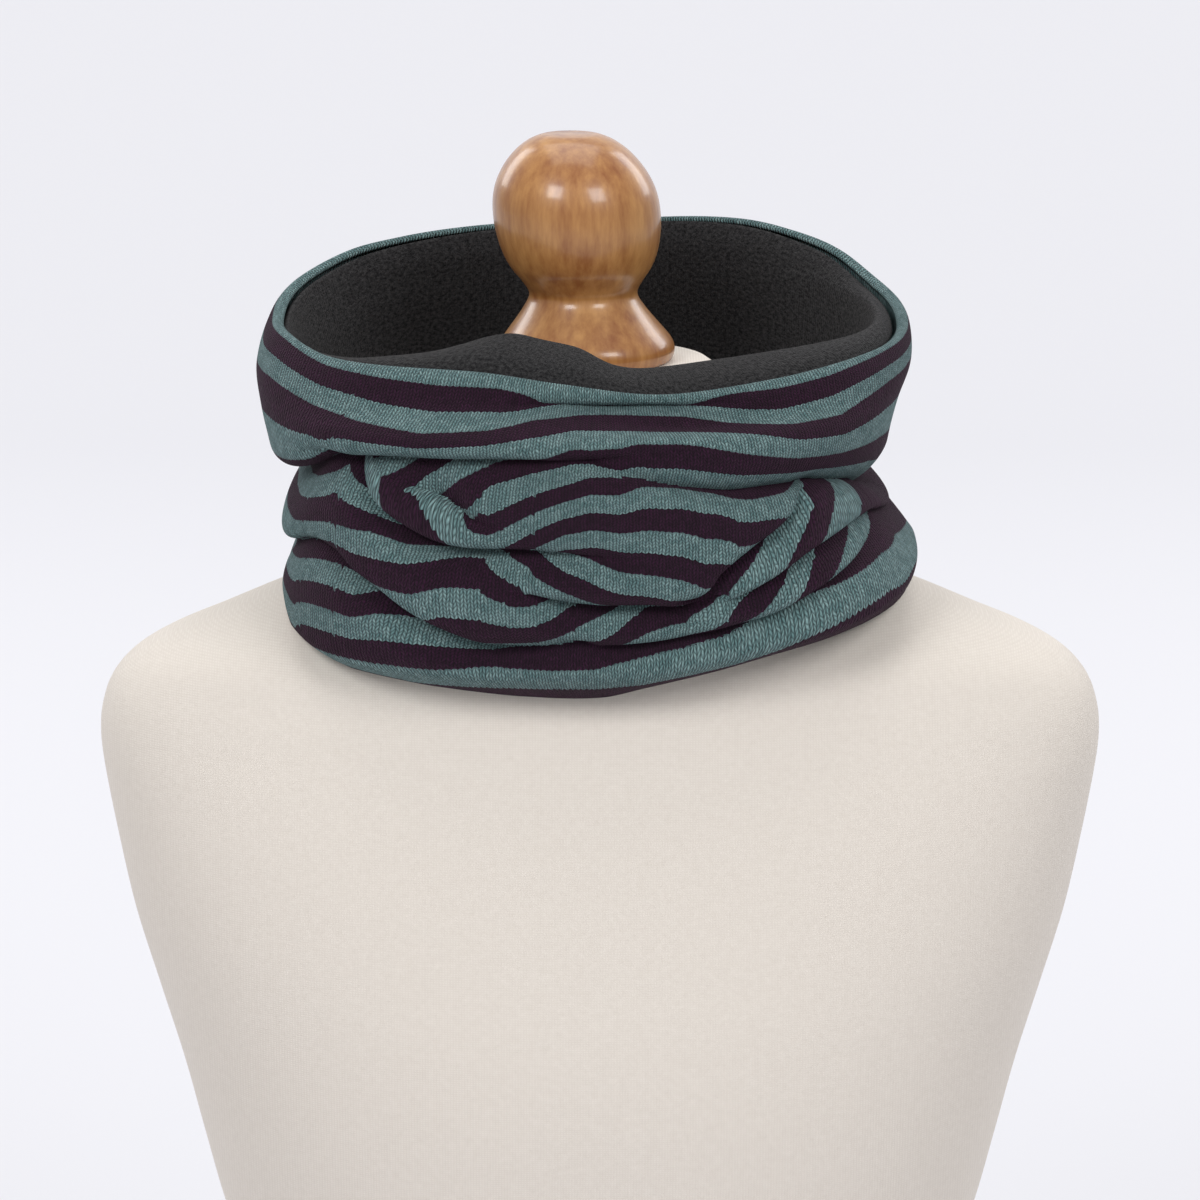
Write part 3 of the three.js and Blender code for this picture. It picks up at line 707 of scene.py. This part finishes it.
def stocking_stitch(tree, uv_name):
    """Relief of stocking stitch from a UV map that counts wales and courses.

    Each wale is a column of V shapes: two slanted legs that meet in the middle.
    """
    uv = add_node(tree, "ShaderNodeUVMap", uv_map=uv_name)
    split = add_node(tree, "ShaderNodeSeparateXYZ", links={0: uv.outputs[0]})
    wale, course = split.outputs[0], split.outputs[1]
    wobble = add_node(tree, "ShaderNodeTexNoise", links={0: uv.outputs[0]}, noise_dimensions="2D",
                      Scale=0.55, Detail=1.0)
    drift = maths(tree, "MULTIPLY", maths(tree, "SUBTRACT", wobble.outputs[0], 0.5), 0.45)
    across = maths(tree, "FRACT", maths(tree, "ADD", wale, drift))
    leg = maths(tree, "ABSOLUTE", maths(tree, "MULTIPLY_ADD", across, 2.0, -1.0))
    slanted = maths(tree, "ADD", maths(tree, "MULTIPLY_ADD", leg, 0.95, course), drift)
    bulge = maths(tree, "SINE", maths(tree, "MULTIPLY", leg, math.pi))
    round_leg = maths(tree, "POWER", maths(tree, "MAXIMUM", bulge, 0.0), 0.6)
    ridge = maths(tree, "ABSOLUTE", maths(tree, "SINE", maths(tree, "MULTIPLY", slanted, math.pi)))
    relief = maths(tree, "MULTIPLY", round_leg, maths(tree, "MULTIPLY_ADD", ridge, 0.6, 0.4))
    return uv.outputs[0], wale, course, slanted, relief


def striped_knit(sizes):
    """Stocking stitch in soft wool, knitted in two yarns; fibres give a soft coloured edge. The
    stitch relief is multiplied into the colour as painted shade.
    """
    material, tree, shader = new_material(
        "Wool stocking stitch striped", Roughness=0.9, Specular_IOR_Level=0.25,
        Sheen_Weight=0.18, Sheen_Roughness=0.45, Sheen_Tint=linear("#8E6A80"))
    uv, wale, course, slanted, relief = stocking_stitch(tree, "stitches")
    edge = maths(tree, "MULTIPLY_ADD", slanted, 0.4, maths(tree, "MULTIPLY", course, 0.6))
    turn = maths(tree, "WRAP", edge, 2.0 * COURSES_A_STRIPE, 0.0)
    is_plum = maths(tree, "GREATER_THAN", turn, float(COURSES_A_STRIPE))
    cell = add_node(tree, "ShaderNodeCombineXYZ", links={
        0: maths(tree, "FLOOR", wale), 1: maths(tree, "FLOOR", slanted)})
    per_stitch = add_node(tree, "ShaderNodeTexWhiteNoise", links={0: cell.outputs[0]},
                          noise_dimensions="2D")
    flecks = add_node(tree, "ShaderNodeTexNoise", links={0: uv}, noise_dimensions="2D",
                      Scale=3.2, Detail=4.0, Roughness=0.7)
    heather = maths(tree, "MULTIPLY_ADD", per_stitch.outputs[0], 0.45,
                    maths(tree, "MULTIPLY", flecks.outputs[0], 0.55))
    teal = mix_colour(tree, heather, linear(sizes.teal_dark), linear(sizes.teal_light))
    plum = mix_colour(tree, heather, linear(sizes.plum_dark), linear(sizes.plum_light))
    yarn = mix_colour(tree, is_plum, teal, plum)
    # Painted shade: the relief darkens the yarn between the legs of each stitch and between the
    # wales.
    shade = maths(tree, "MULTIPLY_ADD", relief, 1.1, 0.1)
    painted_shade_grey = add_node(tree, "ShaderNodeCombineColor")
    for i in range(3):
        tree.links.new(shade, painted_shade_grey.inputs[i])
    colour = add_node(tree, "ShaderNodeMix", data_type="RGBA", blend_type="MULTIPLY",
                      links={6: yarn, 7: painted_shade_grey.outputs[0]})
    colour.inputs[0].default_value = 1.0
    fibre = maths(tree, "MULTIPLY_ADD", flecks.outputs[0], 0.35, relief)
    bump = add_node(tree, "ShaderNodeBump", links={"Height": fibre}, Strength=1.0, Distance=0.0009)
    tree.links.new(colour.outputs[2], shader.inputs["Base Color"])
    tree.links.new(bump.outputs[0], shader.inputs["Normal"])
    return material


def charcoal_knit(sizes):
    """Heathered lambswool, brushed on the inside; light and dark fibres mix in each stitch."""
    material, tree, shader = new_material(
        "Lambswool knit charcoal", Roughness=0.95, Specular_IOR_Level=0.15, Sheen_Weight=0.05,
        Sheen_Roughness=0.5)
    uv, *_, relief = stocking_stitch(tree, "stitches")
    flecks = add_node(tree, "ShaderNodeTexNoise", links={0: uv}, noise_dimensions="2D",
                      Scale=1.2, Detail=6.0, Roughness=0.8)
    sharp = add_node(tree, "ShaderNodeMapRange", links={0: flecks.outputs[0]})
    for i, value in ((1, 0.36), (2, 0.66)):
        sharp.inputs[i].default_value = value
    wool = mix_colour(tree, sharp.outputs[0], linear(sizes.charcoal_dark),
                      linear(sizes.charcoal_light))
    tree.links.new(wool, shader.inputs["Base Color"])
    height = maths(tree, "MULTIPLY_ADD", flecks.outputs[0], 0.9,
                   maths(tree, "MULTIPLY", relief, 0.5))
    bump = add_node(tree, "ShaderNodeBump", links={"Height": height}, Strength=0.7,
                    Distance=0.0009)
    tree.links.new(bump.outputs[0], shader.inputs["Normal"])
    return material


def jersey_cover(sizes):
    """Cotton jersey stretched over the form: a fine flat knit with faint mottling."""
    material, tree, shader = new_material(
        "Cotton jersey cream", Roughness=0.88, Specular_IOR_Level=0.2, Sheen_Weight=0.08)
    where = add_node(tree, "ShaderNodeTexCoord").outputs["Object"]
    # The ribs and the courses are drawn a little coarse, so that they show.
    ribs = add_node(tree, "ShaderNodeTexWave", links={0: where}, bands_direction="X",
                    Scale=300.0, Distortion=1.2, Detail_Scale=60.0)
    courses = add_node(tree, "ShaderNodeTexWave", links={0: where}, bands_direction="Z",
                       Scale=380.0, Distortion=1.5, Detail_Scale=60.0)
    mottle = add_node(tree, "ShaderNodeTexNoise", links={0: where}, Scale=420.0, Detail=3.0)
    weave = maths(tree, "MULTIPLY", ribs.outputs[1], courses.outputs[1])
    factor = maths(tree, "MULTIPLY_ADD", mottle.outputs[0], 0.55,
                   maths(tree, "MULTIPLY", weave, 0.45))
    tree.links.new(mix_colour(tree, factor, linear(sizes.cream_dark), linear(sizes.cream_light)),
                   shader.inputs["Base Color"])
    bump = add_node(tree, "ShaderNodeBump", links={"Height": factor}, Strength=0.35,
                    Distance=0.0004)
    tree.links.new(bump.outputs[0], shader.inputs["Normal"])
    return material


def lacquered_wood(sizes):
    """Turned beech under an amber lacquer: fine long grain and a clear gloss."""
    material, tree, shader = new_material(
        "Beech turned amber lacquer", Roughness=0.38, IOR=1.5, Coat_Weight=0.6,
        Coat_Roughness=0.16)
    where = add_node(tree, "ShaderNodeTexCoord").outputs["Object"]
    stretch = add_node(tree, "ShaderNodeMapping", links={0: where},
                       Rotation=(0.0, math.radians(-KNOB_LEAN_DEG), 0.0), Scale=(1.0, 1.0, 0.16))
    grain = add_node(tree, "ShaderNodeTexNoise", links={0: stretch.outputs[0]}, Scale=260.0,
                     Detail=6.0, Roughness=0.62)
    patches = add_node(tree, "ShaderNodeTexNoise", links={0: where}, Scale=42.0, Detail=3.0)
    factor = maths(tree, "MULTIPLY_ADD", grain.outputs[0], 0.6,
                   maths(tree, "MULTIPLY", patches.outputs[0], 0.45))
    ramp = add_node(tree, "ShaderNodeValToRGB", links={0: factor})
    ramp.color_ramp.elements[0].position = 0.36
    ramp.color_ramp.elements[0].color = linear(sizes.wood_dark)
    ramp.color_ramp.elements[1].position = 0.68
    ramp.color_ramp.elements[1].color = linear(sizes.wood_light)
    tree.links.new(ramp.outputs[0], shader.inputs["Base Color"])
    bump = add_node(tree, "ShaderNodeBump", links={"Height": grain.outputs[0]}, Strength=0.08,
                    Distance=0.0003)
    tree.links.new(bump.outputs[0], shader.inputs["Normal"])
    return material


def studio_paper():
    """Matt white paper: an even ground without gloss, clear from behind for rear views."""
    material, tree, shader = new_material(
        "Backdrop paper white", Base_Color=linear("#A8A8AC"), Emission_Color=linear("#EDEDF1"),
        Emission_Strength=0.5, Roughness=1.0, Specular_IOR_Level=0.0)
    side = add_node(tree, "ShaderNodeNewGeometry").outputs["Backfacing"]
    tree.links.new(maths(tree, "SUBTRACT", 1.0, side), shader.inputs["Alpha"])
    return material


# Settings.
def colour_setting(name, description, default):
    """A setting that holds a hex colour."""
    return bpy.props.StringProperty(name=name, description=description, default=default)


class ScarfSettings(bpy.types.PropertyGroup):
    """Settings of the scarf"""

    wall: bpy.props.FloatProperty(
        name="Layer thickness", description="Thickness of one knitted layer",
        default=0.002, min=0.001, max=0.004, unit="LENGTH")
    stripe: bpy.props.FloatProperty(
        name="Stripe height", description="Height of one stripe on the flat tube",
        default=0.010, min=0.004, max=0.03, unit="LENGTH")
    columns: bpy.props.IntProperty(
        name="Columns", description="Mesh columns round the outer tube", default=480, min=80)
    rows: bpy.props.IntProperty(
        name="Rows", description="Mesh rows down the outer tube", default=150, min=40)
    teal_light: colour_setting("Teal light", "Lighter fibres of the teal yarn", "#95B3B3")
    teal_dark: colour_setting("Teal dark", "Darker fibres of the teal yarn", "#466C6E")
    plum_light: colour_setting("Plum light", "Lighter fibres of the plum yarn", "#3A1834")
    plum_dark: colour_setting("Plum dark", "Darker fibres of the plum yarn", "#1A0717")
    charcoal_light: colour_setting("Charcoal light", "Light fibres of the lining", "#403F40")
    charcoal_dark: colour_setting("Charcoal dark", "Dark fibres of the lining", "#0F0F11")


class FormSettings(bpy.types.PropertyGroup):
    """Settings of the dress form"""

    columns: bpy.props.IntProperty(
        name="Columns", description="Mesh columns round the form", default=160, min=40)
    knob_lean: bpy.props.FloatProperty(
        name="Knob lean", description="Sideways step of the knob for each step up",
        default=0.08, min=0.0, max=0.3)
    cream_light: colour_setting("Cream light", "Lighter loops of the jersey", "#EEE7DE")
    cream_dark: colour_setting("Cream dark", "Darker loops of the jersey", "#DBD2C8")
    wood_light: colour_setting("Wood light", "Lighter grain of the knob", "#C08C52")
    wood_dark: colour_setting("Wood dark", "Darker grain of the knob", "#8F562A")


class StudioSettings(bpy.types.PropertyGroup):
    """Settings of the camera"""

    distance: bpy.props.FloatProperty(
        name="Camera distance", description="From the neck axis to the camera",
        default=2.0, min=0.5, unit="LENGTH")
    pitch: bpy.props.FloatProperty(
        name="Camera pitch", description="How far the camera looks down",
        default=math.radians(PITCH_DEG), subtype="ANGLE")
    aim: bpy.props.FloatProperty(
        name="Aim height", description="Height that the camera looks at",
        default=0.462, unit="LENGTH")
    lens: bpy.props.FloatProperty(
        name="Focal length", description="Lens on a 36 mm sensor, in millimetres",
        default=155.85, min=20.0)


# Pieces.
class SCARF_OT_outer(bpy.types.Operator):
    """Builds the striped outer tube with its folds"""

    bl_idname = "scarf.outer"
    bl_label = "Outer tube"

    def execute(self, context):
        sizes = context.scene.scarf
        wall = sizes.wall / MM
        columns, rows = sizes.columns, sizes.rows
        phi = np.linspace(-math.pi, math.pi, columns, endpoint=False)
        r, z, plain_length, troughs = outer_section(phi, OUTER_STEPS)
        face_r, face_z = displaced(r, z, plain_length, troughs, 0.0)
        back_r, back_z = displaced(r, z, plain_length, troughs, wall)
        face_length = running_length(face_r, face_z)
        face = resample(face_r, face_length, rows), resample(face_z, face_length, rows)
        inside = (resample(back_r, face_length, INNER_ROWS),
                  resample(back_z, face_length, INNER_ROWS))
        mesh, loop = tube_mesh("scarf_outer_knit", phi, face, inside, True)

        total = face_length[-1]
        middle = np.degrees(phi) + 180.0 / columns
        heights = np.zeros((rows - 1, columns, 4))
        for zone, chosen in (("front", np.abs(middle) < SWITCH_DEG),
                             ("back", np.abs(middle) >= SWITCH_DEG)):
            knots = stripe_pieces(phi, zone, (z, plain_length), (face_r, face_z, face_length),
                                  troughs)
            heights[:, chosen] = stripe_heights(knots, total, rows)[:, chosen]
        stripe = sizes.stripe / MM
        corners = np.zeros((loop, columns, 4, 2))
        wale = np.arange(columns) * WALES_ROUND / columns
        step = WALES_ROUND / columns
        corners[:, :, 0, 0] = corners[:, :, 1, 0] = wale
        corners[:, :, 2, 0] = corners[:, :, 3, 0] = wale + step
        corners[:rows - 1, :, :, 1] = heights * COURSES_A_STRIPE / stripe
        paint_uv(mesh, "stitches", corners)
        obj = add_piece("scarf_outer_knit", mesh, striped_knit(sizes), "scarf_outer")
        return {"FINISHED"}


class SCARF_OT_lining(bpy.types.Operator):
    """Builds the plain lining tube inside the collar"""

    bl_idname = "scarf.lining"
    bl_label = "Lining"

    def execute(self, context):
        sizes = context.scene.scarf
        wall = sizes.wall / MM
        columns, rows = LINING_COLUMNS, LINING_ROWS
        phi = np.linspace(-math.pi, math.pi, columns, endpoint=False)
        radius, height = level_rows(LINING, phi)
        height += LINING["share"][:, None] * through(MOUND, "rise", np.degrees(phi))
        for k in (-2, -1):
            height[k] = ride_on(radius[k], height[k], phi, LINING_CLEAR)
        r, z = through_levels(radius, LINING_STEPS), through_levels(height, LINING_STEPS)
        dr, dz = np.gradient(r, axis=0), np.gradient(z, axis=0)
        size = np.hypot(dr, dz)
        back_r, back_z = r - wall * dz / size, z + wall * dr / size
        length = running_length(r, z)
        face = resample(r, length, rows), resample(z, length, rows)
        inside = (resample(back_r, length, LINING_INNER_ROWS),
                  resample(back_z, length, LINING_INNER_ROWS))
        mesh, loop = tube_mesh("scarf_lining_knit", phi, face, inside, False)
        wale = np.arange(columns) * WALES_ROUND / columns
        step = WALES_ROUND / columns
        down = resample(length, length, rows) * COURSES_A_STRIPE / (sizes.stripe / MM)
        corners = np.zeros((loop, columns, 4, 2))
        corners[:, :, 0, 0] = corners[:, :, 1, 0] = wale + step
        corners[:, :, 2, 0] = corners[:, :, 3, 0] = wale
        # The faces point inwards, so the corners of each run the other way round.
        following = np.roll(down, -1, axis=1)
        corners[:rows - 1, :, 0, 1] = following[:-1]
        corners[:rows - 1, :, 1, 1] = following[1:]
        corners[:rows - 1, :, 2, 1] = down[1:]
        corners[:rows - 1, :, 3, 1] = down[:-1]
        paint_uv(mesh, "stitches", corners)
        obj = add_piece("scarf_lining_knit", mesh, charcoal_knit(sizes), "scarf_lining")
        return {"FINISHED"}


class FORM_OT_torso(bpy.types.Operator):
    """Builds the jersey-covered body of the dress form"""

    bl_idname = "form.torso"
    bl_label = "Dress form"

    def execute(self, context):
        sizes = context.scene.form
        columns = sizes.columns
        last = len(TORSO["z"]) - 1
        t = np.linspace(0, last, last * RING_STEPS + 1)
        t = t[(t <= last - 2) | (t == np.round(t))]
        i = np.minimum(t.astype(int), last - 1)
        f = t - i
        rows = {}
        for key, values in TORSO.items():
            slope = np.gradient(values)
            slope[-3:] = 0 if key != "z" else slope[-3:]
            rows[key] = cubic(values[i], values[i + 1], slope[i], slope[i + 1], 1.0, f)
        around = np.linspace(0, 2 * math.pi, columns, endpoint=False)
        c, s = np.cos(around), np.sin(around)
        depth = np.where(s < 0, rows["front"][:, None], rows["back"][:, None])
        power = 2 / rows["full"][:, None]
        x = np.sign(c) * rows["half"][:, None] * np.abs(c) ** power
        y = np.sign(s) * depth * np.abs(s) ** power
        z = np.broadcast_to(rows["z"][:, None], x.shape)
        mesh = ring_stack("form_torso_cover", np.stack([x, y, z], axis=-1) * MM)
        add_piece("form_torso_cover", mesh, jersey_cover(sizes), "form_torso")
        return {"FINISHED"}


KNOB = table("h radius", [
    (0, 30.8), (1, 32), (3.5, 33), (6, 33), (8.5, 32), (11.5, 29.8), (15, 27), (19.5, 23.6),
    (24, 20.9), (27, 20.9), (31, 23.4), (36, 27), (42.5, 29.8), (50, 31.4), (56.6, 31.8),
    (63, 31.2), (69, 29.3), (75, 25.8), (80, 21.4), (83.5, 16.8), (85.3, 13), (86, 10.6),
])
KNOB_X = -4.3


class FORM_OT_knob(bpy.types.Operator):
    """Turns the wooden neck knob"""

    bl_idname = "form.knob"
    bl_label = "Neck knob"

    def execute(self, context):
        sizes = context.scene.form
        last = len(KNOB["h"]) - 1
        t = np.linspace(0, last, last * RING_STEPS + 1)
        i = np.minimum(t.astype(int), last - 1)
        f = t - i
        h, radius = (cubic(values[i], values[i + 1], np.gradient(values)[i],
                           np.gradient(values)[i + 1], 1.0, f)
                     for values in (KNOB["h"], KNOB["radius"]))
        around = np.linspace(0, 2 * math.pi, KNOB_COLUMNS, endpoint=False)
        x = KNOB_X - sizes.knob_lean * h[:, None] + radius[:, None] * np.cos(around)
        y = radius[:, None] * np.sin(around)
        z = np.broadcast_to(NECK_TOP + SEAM_GAP + h[:, None], x.shape)
        mesh = ring_stack("form_knob_turned", np.stack([x, y, z], axis=-1) * MM)
        add_piece("form_knob_turned", mesh, lacquered_wood(sizes), "form_knob")
        return {"FINISHED"}


class STUDIO_OT_stage(bpy.types.Operator):
    """Sets the paper ground, the soft lamps and the camera"""

    bl_idname = "studio.stage"
    bl_label = "Studio"

    def execute(self, context):
        scene = context.scene
        sizes = scene.studio
        # The paper lies flat, bends up behind the form and ends as a wall.
        profile = [(-3.0, 0.0), (2.6, 0.0)]
        profile += [(2.6 + 0.8 * math.sin(a), 0.8 - 0.8 * math.cos(a))
                    for a in np.radians(np.linspace(5, 90, 18))]
        profile.append((3.4, 4.0))
        points = [(x, y, z) for y, z in profile for x in (-4.0, 4.0)]
        quads = [(2 * k, 2 * k + 1, 2 * k + 3, 2 * k + 2) for k in range(len(profile) - 1)]
        mesh = bpy.data.meshes.new("studio_paper")
        mesh.from_pydata(points, [], quads)
        mesh.polygons.foreach_set("use_smooth", np.ones(len(quads), dtype=bool))
        mesh.materials.append(studio_paper())
        paper = bpy.data.objects.new("studio_paper", mesh)
        scene.collection.objects.link(paper)

        lamps = [("lamp_left", (-0.9, -1.5, 1.75), 0.7, 17.0),
                 ("lamp_right", (1.0, -1.4, 1.7), 0.7, 14.0),
                 ("lamp_top", (0.0, 0.3, 2.2), 1.4, 12.0),
                 ("lamp_ground_left", (-1.6, 1.6, 1.6), 1.4, 24.0),
                 ("lamp_ground_right", (1.6, 1.6, 1.6), 1.4, 24.0)]
        for name, place, width, power in lamps:
            lamp = bpy.data.lights.new(name, "AREA")
            lamp.shape = "SQUARE"
            lamp.size = width
            lamp.energy = power
            obj = bpy.data.objects.new(name, lamp)
            scene.collection.objects.link(obj)
            target = Vector((0, 2.2, 0.6)) if "ground" in name else Vector((0, 0, 0.5))
            direction = target - Vector(place)
            obj.matrix_world = (Matrix.Translation(place)
                                @ direction.to_track_quat("-Z", "Y").to_matrix().to_4x4())
        world = bpy.data.worlds.new("studio_air")
        world.use_nodes = True
        world.node_tree.nodes["Background"].inputs[0].default_value = linear("#F4F4F5")
        world.node_tree.nodes["Background"].inputs[1].default_value = 0.38
        scene.world = world

        camera = bpy.data.cameras.new("camera")
        camera.sensor_width = 36.0
        camera.lens = sizes.lens
        camera.clip_end = 50.0
        obj = bpy.data.objects.new("camera", camera)
        obj.location = (0.0, -sizes.distance * math.cos(sizes.pitch),
                        sizes.aim + sizes.distance * math.sin(sizes.pitch))
        obj.rotation_euler = (math.pi / 2 - sizes.pitch, 0.0, 0.0)
        scene.collection.objects.link(obj)
        scene.camera = obj
        scene.view_settings.view_transform = "Standard"
        return {"FINISHED"}


class SCARF_PT_panel(bpy.types.Panel):
    """Lists the settings and the pieces"""

    bl_label = "Scarf"
    bl_idname = "SCARF_PT_panel"
    bl_space_type = "VIEW_3D"
    bl_region_type = "UI"
    bl_category = "Scarf"

    def draw(self, context):
        for group, operators in ((context.scene.scarf, ("scarf.outer", "scarf.lining")),
                                 (context.scene.form, ("form.torso", "form.knob")),
                                 (context.scene.studio, ("studio.stage",))):
            box = self.layout.box()
            for key in group.__annotations__:
                box.prop(group, key)
            for name in operators:
                box.operator(name)


CLASSES = (ScarfSettings, FormSettings, StudioSettings, SCARF_OT_outer, SCARF_OT_lining,
           FORM_OT_torso, FORM_OT_knob, STUDIO_OT_stage, SCARF_PT_panel)


def register():
    for item in CLASSES:
        bpy.utils.register_class(item)
    bpy.types.Scene.scarf = bpy.props.PointerProperty(type=ScarfSettings)
    bpy.types.Scene.form = bpy.props.PointerProperty(type=FormSettings)
    bpy.types.Scene.studio = bpy.props.PointerProperty(type=StudioSettings)


def unregister():
    for name in ("scarf", "form", "studio"):
        delattr(bpy.types.Scene, name)
    for item in reversed(CLASSES):
        bpy.utils.unregister_class(item)


def main():
    register()
    bpy.ops.studio.stage()
    bpy.ops.form.torso()
    bpy.ops.form.knob()
    bpy.ops.scarf.lining()
    bpy.ops.scarf.outer()


if __name__ == "__main__":
    main()
